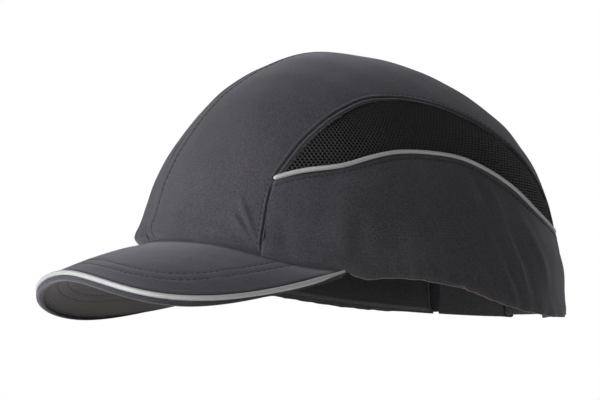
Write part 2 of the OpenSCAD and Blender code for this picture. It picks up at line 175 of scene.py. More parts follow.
def walk(line, shares, ruler=None):
    """Points at the given shares of a polyline's length. A ruler is the same line in
    another space, and then the shares are of its length."""
    line = np.asarray(line, float)
    steps = np.diff(line if ruler is None else ruler, axis=0)
    run = np.r_[0, np.cumsum(np.linalg.norm(steps, axis=1))]
    return np.stack([np.interp(np.asarray(shares) * run[-1], run, line[:, k])
                     for k in range(line.shape[1])], -1)


def rear_arch(degrees, low):
    """Azimuth and height along the opening at the back, from one foot at 0 to the other at 180."""
    t = np.radians(degrees)
    half = ARCH_HALF_A * np.sign(np.cos(t)) * np.abs(np.cos(t)) ** (2 / ARCH_POWER)
    return 180 - half, low + (ARCH_TOP_Z - low) * np.sin(t) ** (2 / ARCH_POWER)


def spread(n, tight=0.0):
    """n + 1 shares from 0 to 1, closer together at both ends when tight is above 0."""
    t = np.linspace(0, 1, n + 1)
    return t - tight * np.sin(2 * np.pi * t) / (2 * np.pi)


def pinned(line, start, end, shares):
    """The line, shifted so that its ends are at start and end."""
    t = shares[:, None]
    return line + (1 - t) * (start - line[0]) + t * (end - line[-1])


def patch(foot, head, first, last, u, v):
    """Grid of chart points between four edges, at the shares u along and v across."""
    u, v = u[None, :, None], v[:, None, None]
    foot, head = foot[None], head[None]
    first, last = first[:, None], last[:, None]
    return ((1 - v) * foot + v * head + (1 - u) * first + u * last
            - (1 - v) * ((1 - u) * foot[:, :1] + u * foot[:, -1:])
            - v * ((1 - u) * head[:, :1] + u * head[:, -1:]))


# -------------------- relief in cloth

def grid_cross(p):
    return np.cross(np.gradient(p, axis=1), np.gradient(p, axis=0))


def normals_of(p, centre=(0, CROWN_Y, 20)):
    """Unit normals of a grid, on the side that looks away from centre."""
    n = grid_cross(p)
    n /= np.maximum(np.linalg.norm(n, axis=-1, keepdims=True), 1e-9)
    if np.sum(n * (p - np.array(centre))) < 0:
        n = -n
    return n


def distance_to(p, line):
    """Distance from each point to a polyline, taken at points 0.4 mm apart along it."""
    length = np.linalg.norm(np.diff(line, axis=0), axis=1).sum()
    dots = walk(line, np.linspace(0, 1, int(length / 0.4) + 2))
    tree = kdtree.KDTree(len(dots))
    for i, q in enumerate(dots):
        tree.insert(q, i)
    tree.balance()
    flat = p.reshape(-1, 3)
    return np.array([tree.find(q)[2] for q in flat]).reshape(p.shape[:-1])


def bump(x, at, width):
    return np.exp(-((x - at) / width) ** 2)


def ramp(x, start, end):
    """0 before start, 1 after end and a smooth turn between them."""
    t = np.clip((x - start) / (end - start), 0, 1)
    return t * t * (3 - 2 * t)


def crease(p, ends, width, height):
    """Soft ridge, or a valley when height is negative, between two places on the crown."""
    a, b = [skin(e[0], level(e[1])) for e in ends]
    along = b - a
    t = np.clip(((p - a) @ along) / (along @ along), 0, 1)
    off = np.linalg.norm(p - (a + t[..., None] * along), axis=-1)
    return height * bump(off, 0, width) * np.sin(np.pi * t)


def ripple(p, pitch, seed):
    """Gentle unevenness of cloth, about -1 to 1, with a pitch in millimetres."""
    x, y, z = (p[..., k] * 2 * np.pi / pitch for k in range(3))
    return (np.sin(x + 1.3 * seed + 0.8 * np.sin(z * 0.7)) * np.sin(y * 0.9 + 2.1 * seed)
            + 0.6 * np.sin(z * 1.2 + 0.5 * y + 3.7 * seed)) / 1.6


def iso_line(p, dist, value, from_end):
    """Line on a grid where dist across the rows is value, looking from the first or last row."""
    line = []
    for c in range(p.shape[1]):
        d, q = dist[:, c], p[:, c]
        if from_end:
            d, q = d[::-1], q[::-1]
        past = np.nonzero(d > value)[0]
        if len(past) == 0:
            continue
        i = max(past[0], 1)
        t = np.clip((value - d[i - 1]) / max(d[i] - d[i - 1], 1e-6), 0, 1)
        line.append(q[i - 1] + t * (q[i] - q[i - 1]))
    return np.array(line)


# -------------------- meshes

def add_object(name, data):
    obj = bpy.data.objects.new(name, data)
    bpy.context.scene.collection.objects.link(obj)
    return obj


def new_object(name, points, faces, mat, uvs=None):
    """Mesh object from points in millimetres. uvs are per point, 1 for each 100 mm."""
    mesh = bpy.data.meshes.new(name)
    mesh.from_pydata([tuple(q) for q in np.asarray(points) * MM], [], [tuple(f) for f in faces])
    mesh.materials.append(mat)
    mesh.polygons.foreach_set("use_smooth", [True] * len(mesh.polygons))
    if uvs is not None:
        layer = mesh.uv_layers.new(name="cloth")
        index = np.empty(len(mesh.loops), int)
        mesh.loops.foreach_get("vertex_index", index)
        layer.data.foreach_set("uv", np.asarray(uvs, float)[index].ravel())
    mesh.validate()
    mesh.update()
    return add_object(name, mesh)


def grid_faces(rows, cols, flip):
    r, c = np.meshgrid(np.arange(rows - 1), np.arange(cols - 1), indexing="ij")
    i = (r * cols + c).ravel()
    quads = np.stack([i, i + 1, i + cols + 1, i + cols], -1)
    return quads[:, ::-1] if flip else quads


def grid_uv(p):
    """Lengths along and across a grid of points, in units of 100 mm."""
    across = np.r_[0, np.cumsum(np.linalg.norm(np.diff(p, axis=0), axis=-1).mean(1))]
    along = np.cumsum(np.linalg.norm(np.diff(p, axis=1, prepend=p[:, :1]), axis=-1), axis=1)
    along = along - along.mean(1, keepdims=True)
    return np.stack([along, np.broadcast_to(across[:, None], along.shape)], -1).reshape(-1, 2) / 100


def cloth_slab(name, outer, inner, mat, mirrored=False):
    """Closed sheet of cloth between an outer and an inner grid of points."""
    rows, cols = outer.shape[:2]
    half = rows * cols
    uv = grid_uv(outer)
    flip = not np.sum(grid_cross(outer) * (inner - outer)) > 0
    quads = grid_faces(rows, cols, flip)
    rim = np.r_[np.arange(cols), np.arange(2, rows + 1) * cols - 1,
                half - 2 - np.arange(cols - 1), np.arange(rows - 2, 0, -1) * cols]
    nxt = np.roll(rim, -1)
    walls = np.stack([nxt, rim, rim + half, nxt + half], -1)
    if flip:
        walls = walls[:, ::-1]
    faces = np.concatenate([quads, quads[:, ::-1] + half, walls])
    points = np.concatenate([outer.reshape(-1, 3), inner.reshape(-1, 3)])
    if mirrored:
        points = points * [-1, 1, 1]
        faces = faces[:, ::-1]
    return new_object(name, points, faces, mat, np.concatenate([uv, uv]))


def tube(name, path, side, profile, mat, mirrored=False, taper=0, sizes=None):
    """Solid swept along path. profile is [sideways, up] for each corner, sizes scales it at
    each point, and the last `taper` rings at both ends are rounded off."""
    path, side = np.asarray(path, float), np.asarray(side, float)
    n, profile = len(path), np.asarray(profile, float)
    m = len(profile)
    tangent = np.gradient(path, axis=0)
    tangent /= np.linalg.norm(tangent, axis=1, keepdims=True)
    up = np.cross(side, tangent)
    up /= np.linalg.norm(up, axis=1, keepdims=True)
    out = np.cross(tangent, up)
    size = np.ones(n) if sizes is None else np.array(sizes, float)
    if taper:
        for k in range(taper):
            share = math.sqrt(1 - (1 - (k + 0.35) / taper) ** 2)
            size[k] *= share
            size[-1 - k] *= share
    rings = (path[:, None] + size[:, None, None] * (profile[None, :, :1] * out[:, None]
                                                  + profile[None, :, 1:] * up[:, None]))
    i, j = np.meshgrid(np.arange(n - 1), np.arange(m), indexing="ij")
    a = (i * m + j).ravel()
    b = (i * m + (j + 1) % m).ravel()
    faces = [tuple(f) for f in np.stack([a, b, b + m, a + m], -1)]
    faces += [tuple(range(m - 1, -1, -1)), tuple(range((n - 1) * m, n * m))]
    if mirrored:
        rings = rings * [-1, 1, 1]
        faces = [f[::-1] for f in faces]
    run = np.r_[0, np.cumsum(np.linalg.norm(np.diff(path, axis=0), axis=1))] / 100
    girth = np.r_[0, np.cumsum(np.linalg.norm(np.diff(profile, axis=0), axis=1))] / 100
    uv = np.stack([np.repeat(run, m), np.tile(girth, n)], -1)
    obj = new_object(name, rings.reshape(-1, 3), faces, mat, uv)
    fix_normals(obj)
    return obj


def fix_normals(obj):
    bm = bmesh.new()
    bm.from_mesh(obj.data)
    bmesh.ops.recalc_face_normals(bm, faces=bm.faces)
    bm.to_mesh(obj.data)
    bm.free()


def round_profile(r, n=12):
    t = np.arange(n) * 2 * np.pi / n
    return np.stack([r * np.cos(t), r * np.sin(t)], -1)


STITCH_LIFT = 0.05


def stitches(name, line, on, slot, length, gap, radius):
    """Row of thread stitches along a line, laid on the surface of the object `on`."""
    line = np.asarray(line, float)
    total = np.linalg.norm(np.diff(line, axis=0), axis=1).sum()
    count = int(total / (length + gap))
    tree = bvhtree.BVHTree.FromPolygons([v.co / MM for v in on.data.vertices],
                                        [p.vertices[:] for p in on.data.polygons])
    rings, corners = 5, 6
    points, faces = [], []
    for k in range(count):
        at = (k + np.linspace(0.12, 0.88, rings) * length / (length + gap) + 0.1) / count
        spots = walk(line, np.clip(at, 0, 1))
        hits = [tree.find_nearest(Vector(q)) for q in spots]
        centre = np.array([np.array(h[0]) + np.array(h[1]) * STITCH_LIFT for h in hits])
        normal = np.array([np.array(h[1]) for h in hits])
        tangent = np.gradient(centre, axis=0)
        tangent /= np.maximum(np.linalg.norm(tangent, axis=1, keepdims=True), 1e-9)
        side = np.cross(tangent, normal)
        start = len(points)
        for r in range(rings):
            x = 2 * r / (rings - 1) - 1
            thick = radius * math.sqrt(1 - 0.8 * x * x)
            sink = radius * 0.9 * x * x
            for c in range(corners):
                t = 2 * math.pi * c / corners
                points.append(centre[r] - sink * normal[r]
                              + thick * (math.cos(t) * side[r] + math.sin(t) * normal[r]))
        for r in range(rings - 1):
            for c in range(corners):
                a, b = start + r * corners + c, start + r * corners + (c + 1) % corners
                faces.append((a, b, b + corners, a + corners))
        faces.append(tuple(start + c for c in range(corners - 1, -1, -1)))
        faces.append(tuple(start + (rings - 1) * corners + c for c in range(corners)))
    obj = new_object(name, points, faces, THREAD)
    fix_normals(obj)
    place(obj, slot)


# -------------------- materials

def start_material(name):
    mat = bpy.data.materials.new(name)
    mat.use_nodes = True
    tree = mat.node_tree
    tree.nodes.clear()
    out = tree.nodes.new("ShaderNodeOutputMaterial")
    shader = tree.nodes.new("ShaderNodeBsdfPrincipled")
    tree.links.new(shader.outputs["BSDF"], out.inputs["Surface"])
    return mat, tree, shader


def color_between(tree, shader, fac, dark, light):
    mix = tree.nodes.new("ShaderNodeMix")
    mix.data_type = "RGBA"
    mix.inputs["A"].default_value = (*dark, 1)
    mix.inputs["B"].default_value = (*light, 1)
    tree.links.new(fac, mix.inputs["Factor"])
    tree.links.new(mix.outputs["Result"], shader.inputs["Base Color"])


def math_node(tree, operation, a, b):
    node = tree.nodes.new("ShaderNodeMath")
    node.operation = operation
    for socket, value in zip(node.inputs, (a, b)):
        if isinstance(value, (int, float)):
            socket.default_value = value
        else:
            tree.links.new(value, socket)
    return node.outputs[0]


def weighted(tree, a, a_share, b, b_share):
    return plus(tree, math_node(tree, "MULTIPLY", a, a_share), b, b_share)


def plus(tree, a, b, b_share):
    return math_node(tree, "ADD", a, math_node(tree, "MULTIPLY", b, b_share))


def settings(node, values):
    for name, value in values.items():
        node.inputs[name].default_value = value


def noise(tree, coords, scale, detail):
    node = tree.nodes.new("ShaderNodeTexNoise")
    settings(node, {"Scale": scale, "Detail": detail})
    tree.links.new(coords, node.inputs["Vector"])
    return node.outputs["Fac"]


def wave(tree, coords, scale, direction):
    node = tree.nodes.new("ShaderNodeTexWave")
    node.bands_direction = direction
    settings(node, {"Scale": scale, "Distortion": 0.6, "Detail Scale": 2.0})
    tree.links.new(coords, node.inputs["Vector"])
    return node.outputs["Fac"]


def add_bump(tree, shader, height, strength, distance):
    node = tree.nodes.new("ShaderNodeBump")
    settings(node, {"Strength": strength, "Distance": distance})
    tree.links.new(height, node.inputs["Height"])
    tree.links.new(node.outputs["Normal"], shader.inputs["Normal"])


WAVE_MM = 31.4           # pitch of a wave texture's straight bands at scale 1


def woven(name, dark, light, weave_mm=0.5, strength=0.35):
    """Fine woven cloth: crossing threads on the cloth's own coordinates, with a fine grain
    and soft patches of tone."""
    mat, tree, shader = start_material(name)
    coords = tree.nodes.new("ShaderNodeTexCoord")
    bands = WAVE_MM / weave_mm
    twill = wave(tree, coords.outputs["UV"], bands, "DIAGONAL")
    weft = wave(tree, coords.outputs["UV"], bands * 0.7, "Y")
    weave = math_node(tree, "MULTIPLY", twill, weft)
    fine = noise(tree, coords.outputs["Object"], 1300, 2)
    soft = noise(tree, coords.outputs["Object"], 30, 3)
    tone = weighted(tree, weave, 0.4, fine, 1.7)
    tone = plus(tree, tone, soft, 0.6)
    tone = math_node(tree, "SUBTRACT", tone, 0.78)
    color_between(tree, shader, tone, dark, light)
    height = plus(tree, weave, fine, 0.8)
    add_bump(tree, shader, height, strength, 0.00025)
    settings(shader, {"Roughness": 0.82, "Specular IOR Level": 0.25, "Sheen Weight": 0.3,
                      "Sheen Roughness": 0.45, "Sheen Tint": (0.85, 0.83, 0.95, 1)})
    return mat


def grainy(name, dark, light, scale, rough, strength, distance=0.0003, specular=0.3, sheen=0.0):
    """Material with an even grain, such as foam, moulded plastic or knitted yarn."""
    mat, tree, shader = start_material(name)
    coords = tree.nodes.new("ShaderNodeTexCoord")
    grain = noise(tree, coords.outputs["Object"], scale, 4)
    broad = noise(tree, coords.outputs["Object"], 45, 2)
    tone = weighted(tree, grain, 0.6, broad, 0.4)
    color_between(tree, shader, tone, dark, light)
    add_bump(tree, shader, grain, strength, distance)
    settings(shader, {"Roughness": rough, "Specular IOR Level": specular, "Sheen Weight": sheen})
    return mat


def reflective_tape(name, dark, light):
    """Silver-grey retroreflective cloth with a faint slanted bead pattern."""
    mat, tree, shader = start_material(name)
    coords = tree.nodes.new("ShaderNodeTexCoord")
    beads = wave(tree, coords.outputs["UV"], 45, "DIAGONAL")
    fine = noise(tree, coords.outputs["Object"], 1800, 2)
    tone = weighted(tree, beads, 0.25, fine, 0.75)
    color_between(tree, shader, tone, dark, light)
    add_bump(tree, shader, tone, 0.2, 0.0001)
    settings(shader, {"Roughness": 0.55, "Specular IOR Level": 0.6})
    return mat


def ribbed(name, dark, light):
    """Webbing: ribs across the strap with a twill of yarns."""
    mat, tree, shader = start_material(name)
    coords = tree.nodes.new("ShaderNodeTexCoord")
    ribs = wave(tree, coords.outputs["UV"], 21, "X")
    yarn = wave(tree, coords.outputs["UV"], 40, "DIAGONAL")
    height = plus(tree, ribs, yarn, 0.5)
    color_between(tree, shader, height, dark, light)
    add_bump(tree, shader, height, 0.6, 0.0004)
    settings(shader, {"Roughness": 0.8, "Sheen Weight": 0.2})
    return mat


CLOTH = woven("charcoal_cloth", (0.020, 0.019, 0.023), (0.064, 0.062, 0.071))
# The peak's top cloth is the crown's cloth painted darker: painted shade on the upturned top of the
# peak.
PEAK_TOP_SHADE_CLOTH = woven("peak_cloth", (0.013, 0.0125, 0.0145), (0.036, 0.0345, 0.0395), 0.6, 0.4)
LINING = woven("lining_cloth", (0.024, 0.024, 0.027), (0.05, 0.05, 0.055), 0.7)
UNDER_CLOTH = woven("under_peak_cloth", (0.035, 0.032, 0.031), (0.072, 0.066, 0.064), 0.8)
BINDING = woven("binding_cloth", (0.018, 0.018, 0.022), (0.045, 0.045, 0.053), 0.9, 0.6)
HEM_EDGE = woven("hem_edge_cloth", (0.045, 0.036, 0.034), (0.13, 0.105, 0.1), 0.6)
MESH_YARN = grainy("mesh_yarn", (0.007, 0.007, 0.007), (0.026, 0.026, 0.026),
                   2600, 0.65, 0.5, specular=0.35)
# Near-black sheet under the knit: painted shade seen through the mesh's holes.
SHADE_SHEET = grainy("mesh_shade_sheet", (0.003, 0.003, 0.003), (0.008, 0.008, 0.008),
                   900, 0.9, 0.2, specular=0.1)
REFLECTIVE = reflective_tape("reflective_cloth", (0.26, 0.265, 0.27), (0.5, 0.51, 0.515))
THREAD = grainy("thread", (0.004, 0.004, 0.005), (0.014, 0.014, 0.016), 3000, 0.7, 0.4)
TERRY = grainy("terry_cloth", (0.016, 0.016, 0.018), (0.045, 0.045, 0.048),
               700, 0.95, 0.9, 0.0006, 0.15, 0.3)
FOAM = grainy("closed_cell_foam", (0.018, 0.018, 0.020), (0.050, 0.050, 0.054),
              1600, 0.9, 0.6, specular=0.2)
SHELL = grainy("shell_plastic", (0.020, 0.022, 0.026), (0.032, 0.034, 0.039),
               500, 0.38, 0.12, specular=0.5)
BUCKLE = grainy("buckle_plastic", (0.008, 0.008, 0.009), (0.018, 0.018, 0.019),
                900, 0.35, 0.1, specular=0.5)
WEBBING = ribbed("webbing", (0.008, 0.008, 0.009), (0.035, 0.035, 0.038))
STEEL = grainy("pin_steel", (0.45, 0.45, 0.46), (0.6, 0.6, 0.62), 700, 0.3, 0.1)
STEEL.node_tree.nodes["Principled BSDF"].inputs["Metallic"].default_value = 1


def place(obj, slot, *nodes, body="cap"):
    """Attach a finished piece to the body it rides on and hide the CAD parts that it stands for.
    slot is not used.
    """
    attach(obj, body)
    if nodes:
        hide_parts(*nodes)


# -------------------- crown and side panels

# Small steps in the hem: azimuth and height
HEM_JOGS = {
    LEFT: [(99, 0.35), (103.5, 0.3), (113.5, 0.4), (117.8, 0.55), (121.5, 0.3), (129, 0.25)],
    RIGHT: [(112, 0.2), (127, -0.25), (139, 0.2)],
}
# Creases: both ends as (azimuth, height), the width and the height, negative for a valley
CROWN_CREASES = {
    LEFT: [([(36, 47), (46.5, 27)], 1.4, 1.4), ([(38.5, 54), (44.5, 33)], 1.5, 1.5),
           ([(40, 45), (46.3, 24)], 1.3, -1.2), ([(34, 40), (45, 27)], 2.2, -1.2),
           ([(8, 41), (24, 36)], 3, -0.5), ([(24, 37), (40, 31)], 3, 0.5),
           ([(158, 95), (172, 70)], 6, -0.6), ([(150, 112), (168, 100)], 7, -0.5)],
    RIGHT: [([(38, 45), (46.5, 28)], 1.7, 0.7), ([(33, 50), (45, 36)], 2.2, -0.5),
            ([(10, 40), (22, 36)], 3, 0.9), ([(3, 44), (16, 35)], 2.4, -0.5),
            ([(155, 100), (170, 76)], 6, -0.7)],
}
SIDE_CREASES = {
    LEFT: [([(64, 61), (95, 65)], 3.0, -0.8), ([(60, 57), (90, 60)], 4.0, 0.4),
           ([(115.8, 30), (128.5, 2)], 1.5, 0.55), ([(121, 44), (134.5, 0)], 1.4, 0.6),
           ([(124, 44), (136, 2)], 2.6, -0.7), ([(128.5, 48), (139, 5)], 1.4, 0.8),
           ([(131, 46), (142, 4)], 2.8, -0.7), ([(118, 70), (121, 45)], 2.0, 0.45),
           ([(122, 69), (126, 44)], 1.8, -0.5), ([(127, 66), (131, 44)], 2.0, 0.5),
           ([(137, 50), (148, 10)], 3.5, 0.9), ([(52, 45), (55, 20)], 4.0, -0.5),
           ([(70, 48), (73, 22)], 5.0, 0.6), ([(78, 44), (76, 20)], 4.0, -0.4)],
    RIGHT: [([(66, 60), (96, 62)], 3.5, -0.7), ([(112, 42), (124, 6)], 1.7, 0.7),
            ([(120, 46), (132, 6)], 2.2, -0.6), ([(126, 48), (140, 8)], 1.6, 0.8),
            ([(140, 48), (150, 12)], 3.0, 0.8), ([(70, 46), (76, 22)], 5.0, 0.6),
            ([(88, 50), (92, 24)], 4.0, -0.5)],
}


def crown_half(side):
    """Front and top panel: folded rib along the side seam, felled middle seam, a soft roll
    over the peak and a few creases."""
    u, v = spread(200, 0.8), spread(92, 0.8)
    dense = np.concatenate([curve(SEAM_PATH, 80), curve(MESH_TOP_PATH, 320)])
    side_edge = walk(dense, u)
    front = chart(SEAM_A * v, hem_z(SEAM_A * v))
    rear = walk(walk(curve(REAR_TOP_PATH, 400), spread(76))[::-1], v)
    rear[-1] = side_edge[-1]
    middle = front[0] + (rear[0] - front[0]) * u[:, None]
    c = patch(middle, side_edge, front, rear, u, v)
    base = on_crown(c)
    n = normals_of(base)
    seam_d = distance_to(base, on_crown(dense))
    foot_a = np.linspace(0, SEAM_A, 60)
    foot_d = distance_to(base, on_crown(chart(foot_a, hem_z(foot_a))))
    mid_d = np.abs(base[..., 0])
    azimuth = azimuth_of(c)
    h = 0.3 * bump(seam_d, 1.2, 0.7) - 0.7 * bump(seam_d, 0, 0.45)
    h -= 0.14 * bump(seam_d, SIDE_STITCH, 0.45)
    h += (0.35 * (1 - ramp(mid_d, 6.6, 7.9)) - 0.25 * bump(mid_d, MIDDLE_STITCH, 0.45)
          - 0.55 * bump(mid_d, 0, 0.45))
    at_front = ramp(-c[..., 1], 0, 0.2)
    tuck = (2.1 + 0.7 * np.sin(np.radians(azimuth * 9 + 50 * side))
            + 0.35 * np.sin(np.radians(azimuth * 23)))
    under_peak = 1 - ramp(foot_d, tuck - 2.4, tuck + 2.8)
    h += at_front * (1.2 * bump(foot_d, 7.5, 5) - 2.6 * under_peak)
    h += 0.5 * ripple(base, 62, side) + 0.16 * ripple(base, 23, 2 + side)
    for ends, width, height in CROWN_CREASES[side]:
        h += crease(base, ends, width, height)
    outer = base + h[..., None] * n
    outer[0, :, 0] = 0
    outer[..., 0] = np.maximum(outer[..., 0], 0)
    inner = on_crown(c, PANEL_T + 0.3) + np.minimum(h, 0)[..., None] * n * 0.9
    inner[0, :, 0] = 0
    obj = cloth_slab(f"crown_cloth_{SIDE_NAME[side]}", outer, inner, CLOTH, side == RIGHT)
    place(obj, "crown_cloth", f"crown_panel_{SIDE_NAME[side]}")
    rows = outer * np.array([side, 1, 1])
    stitches(f"stitch_side_seam_{SIDE_NAME[side]}", iso_line(rows, seam_d, SIDE_STITCH, True),
             obj, "crown_cloth", 1.9, 1.0, 0.26)
    stitches(f"stitch_middle_{SIDE_NAME[side]}", iso_line(rows, mid_d, MIDDLE_STITCH, False)[2:],
             obj, "crown_cloth", 2.2, 1.0, 0.26)


HEM_SHARE = 0.86         # share of the side panel's foot that is hem, the rest is the arch
SIDE_COLUMNS = spread(240, 0.4)


def side_edges(side, u, v):
    """Chart grid of the side panel: piping above, hem and rear arch below."""
    head = np.concatenate([curve(MESH_FOOT_PATH, 320), curve(REAR_TOP_PATH, 60, 0.02)])
    a = np.linspace(SEAM_A, 180 - ARCH_HALF_A, 300)
    ease = np.clip((a - 71) / 4, 0, 1)
    z = hem_z(a) + hem_sag(a, side) * ease
    pucker = np.clip((a - 76) / 8, 0, 1) * np.clip((160 - a) / 20, 0, 1)
    z += pucker * (0.14 * np.sin(a * 0.9 + side) + 0.07 * np.sin(a * 2.1 + 2))
    for at, size in HEM_JOGS[side]:
        z += size * bump(a, at, 0.9)
    foot = np.concatenate([chart(a, z), chart(*rear_arch(np.linspace(2, 90, 60), z[-1]))])
    on_hem = u <= HEM_SHARE
    arch = foot[len(a) - 1:]
    foot_walk = np.concatenate([
        walk(foot[:len(a)], np.minimum(u[on_hem] / HEM_SHARE, 1)),
        walk(arch, (u[~on_hem] - HEM_SHARE) / (1 - HEM_SHARE), ruler=on_crown(arch))])
    head_walk = walk(head, u)
    first = walk(curve(SEAM_PATH, 60, 1, 0), v)
    last = chart(180, REAR_TOP_PATH[-1][1] + (ARCH_TOP_Z - REAR_TOP_PATH[-1][1]) * v)
    first = pinned(first, head_walk[0], foot_walk[0], v)
    last = pinned(last, head_walk[-1], foot_walk[-1], v)
    return patch(head_walk, foot_walk, first, last, u, v), on_crown(head), on_crown(foot)


def side_half(side):
    """Side panel: rolled edges at the piping and the hem, gathers, folds at the back and a
    few creases. Returns the grid of its outer face."""
    u, v = SIDE_COLUMNS, spread(72, 0.8)
    c, head_line, foot_line = side_edges(side, u, v)
    base = on_crown(c)
    n = outward_at(c)
    seam_line = on_crown(curve(SEAM_PATH, 80))
    head_d = distance_to(base, head_line)
    seam_d = distance_to(base, seam_line)
    foot_d = distance_to(base, foot_line)
    azimuth = azimuth_of(c)
    h = 0.3 * bump(head_d, 2.0, 0.9) - 0.5 * bump(head_d, 0, 0.7)
    h -= 0.25 * bump(head_d, PIPING_STITCH, 0.45)
    h -= 0.7 * bump(seam_d, 0, 0.7)
    h += 0.25 * bump(foot_d, 3.5, 3.0) - 0.5 * bump(foot_d, 0, 0.8)
    gathers = np.clip((azimuth - 78) / 10, 0, 1) * np.clip((165 - azimuth) / 15, 0, 1)
    h += gathers * bump(foot_d, 0, 8) * 0.2 * np.sin(azimuth * 1.05 + 0.2 * foot_d + side)
    at_back = ramp(azimuth, 122, 146)
    h += at_back * (2.2 * bump(base[..., 2], 26, 15) - 0.5 * bump(base[..., 2], 0, 3))
    over_peak = np.clip((PEAK_CORNER_A - azimuth) / 6, 0, 1)
    h += over_peak * (0.8 * bump(foot_d, 5.0, 3.4) - 0.9 * bump(foot_d, 0, 1.6))
    h += 0.5 * ripple(base, 48, 3 + side) + 0.16 * ripple(base, 19, 5 + side)
    for ends, width, height in SIDE_CREASES[side]:
        h += crease(base, ends, width, height)
    fade = np.clip(head_d / 3, 0, 1)
    h = h * fade + (1 - fade) * np.clip(h, -0.6, 0.3)
    outer = base + h[..., None] * n
    outer[:, -1, 0] = 0
    inner = on_crown(c, PANEL_T)
    inner[:, -1, 0] = 0
    obj = cloth_slab(f"side_cloth_{SIDE_NAME[side]}", outer, inner, CLOTH, side == RIGHT)
    place(obj, "crown_cloth", f"side_panel_{SIDE_NAME[side]}")
    rows = outer * np.array([side, 1, 1])
    stitches(f"stitch_under_piping_{SIDE_NAME[side]}",
             iso_line(rows, head_d, PIPING_STITCH, False)[1:], obj, "crown_cloth", 1.8, 1.0, 0.26)
    return outer


# -------------------- mesh panels

MESH_PITCH_A = 1.55      # degrees between holes
MESH_PITCH_S = 0.0098    # level between rows of holes
MESH_HOLE = 0.27         # hole radius as a share of the pitch
MESH_FROM_A, MESH_FROM_Z, MESH_TO_Z = 46, 42, 108   # the knit before it is cut to the panel
MESH_FRONT_A = 49
HOLE_SINK = 0.3
YARN_T = 0.28


def knit_place(across, up):
    """Azimuth and level at a number of pitches from the knit's first corner."""
    return MESH_FROM_A + MESH_PITCH_A * across, level(MESH_FROM_Z) + MESH_PITCH_S * up


def mesh_half(side):
    """Knitted mesh with real holes in staggered rows, over a near-black sheet that paints the shade
    seen through the holes.
    """
    top, foot = curve(MESH_TOP_PATH, 300), curve(MESH_FOOT_PATH, 300)
    edge = on_crown(np.concatenate([top, foot[::-1], top[:1]]))
    top_a, top_s = azimuth_of(top), 1 - np.hypot(*top.T)
    foot_a, foot_s = azimuth_of(foot), 1 - np.hypot(*foot.T)

    def in_panel(a, s):
        return ((s < np.interp(a, top_a, top_s)) & (s > np.interp(a, foot_a, foot_s))
                & (a > MESH_FRONT_A) & (a < REAR_A))

    cols = int((REAR_A + 4 - MESH_FROM_A) / MESH_PITCH_A)
    rows = int((level(MESH_TO_Z) - level(MESH_FROM_Z)) / MESH_PITCH_S)
    cells = [(i, j) for j in range(rows) for i in range(cols)]
    ij = np.array(cells, float)
    a, s = knit_place(ij[:, 0] + 0.5 * (ij[:, 1] % 2), ij[:, 1])
    dist = distance_to(skin(a, s), edge)
    keep = in_panel(a, s) | (dist < 1.0)
    ring = [(-1, -1), (0, -1), (1, -1), (1, 0), (1, 1), (0, 1), (-1, 1), (-1, 0)]
    index, spots, sunk, faces = {}, [], [], []
    for (i, j), wanted in zip(cells, keep):
        if not wanted:
            continue
        outer_ids = []
        for x, y in ring:
            key = (2 * i + j % 2 + x, 2 * j + y)
            if key not in index:
                index[key] = len(spots)
                spots.append((key[0] / 2, key[1] / 2))
                sunk.append(0.0)
            outer_ids.append(index[key])
        hole_ids = []
        for x, y in ring:
            r = MESH_HOLE / math.hypot(x, y)
            hole_ids.append(len(spots))
            spots.append((i + 0.5 * (j % 2) + r * x, j + r * y))
            sunk.append(HOLE_SINK)
        for k in range(8):
            m = (k + 1) % 8
            faces.append((outer_ids[k], hole_ids[k], hole_ids[m], outer_ids[m]))
    spots, sunk = np.array(spots), np.array(sunk)
    a, s = knit_place(spots[:, 0], spots[:, 1])
    flat = skin(a, s)
    signed = distance_to(flat, edge) * np.where(in_panel(a, s), 1, -1)
    depth = 0.25 + sunk + 0.85 / (1 + np.exp((signed - 1.0) / 0.5))
    points = skin(a, s, depth + 0.12 * ripple(flat, 30, side))
    if side == RIGHT:
        points = points * [-1, 1, 1]
    obj = new_object(f"mesh_knit_{SIDE_NAME[side]}", points, faces, MESH_YARN)
    fix_outward(obj)
    thick = obj.modifiers.new("yarn", "SOLIDIFY")
    thick.thickness = YARN_T * MM
    thick.offset = -1
    apply_modifiers(obj)
    place(obj, "mesh_cloth", f"mesh_panel_{SIDE_NAME[side]}")
    u, v = spread(90), spread(20)
    c = patch(walk(foot, u), walk(top, u), walk([foot[0], top[0]], v),
              walk([foot[-1], top[-1]], v), u, v)
    # Near-black sheet under the knit, painting the shade seen through its holes.
    back = cloth_slab(f"mesh_shade_sheet_{SIDE_NAME[side]}", on_crown(c, 1.2), on_crown(c, 1.5),
                      SHADE_SHEET, side == RIGHT)
    place(back, "mesh_cloth")


def fix_outward(obj):
    """Turn all faces so that most look away from the inside of the cap."""
    centre = Vector((0, CROWN_Y * MM, 0.03))
    total = sum(p.normal.dot(p.center - centre) * p.area for p in obj.data.polygons)
    if total < 0:
        obj.data.flip_normals()


def apply_modifiers(obj):
    bpy.context.view_layer.update()
    evaluated = obj.evaluated_get(bpy.context.evaluated_depsgraph_get())
    mesh = bpy.data.meshes.new_from_object(evaluated)
    old = obj.data
    obj.modifiers.clear()
    obj.data = mesh
    bpy.data.meshes.remove(old)


# -------------------- trim on the crown

def outward_at(c):
    """Direction out of the crown at chart points."""
    n = on_crown(c, 0) - on_crown(c, 2)
    return n / np.linalg.norm(n, axis=-1, keepdims=True)


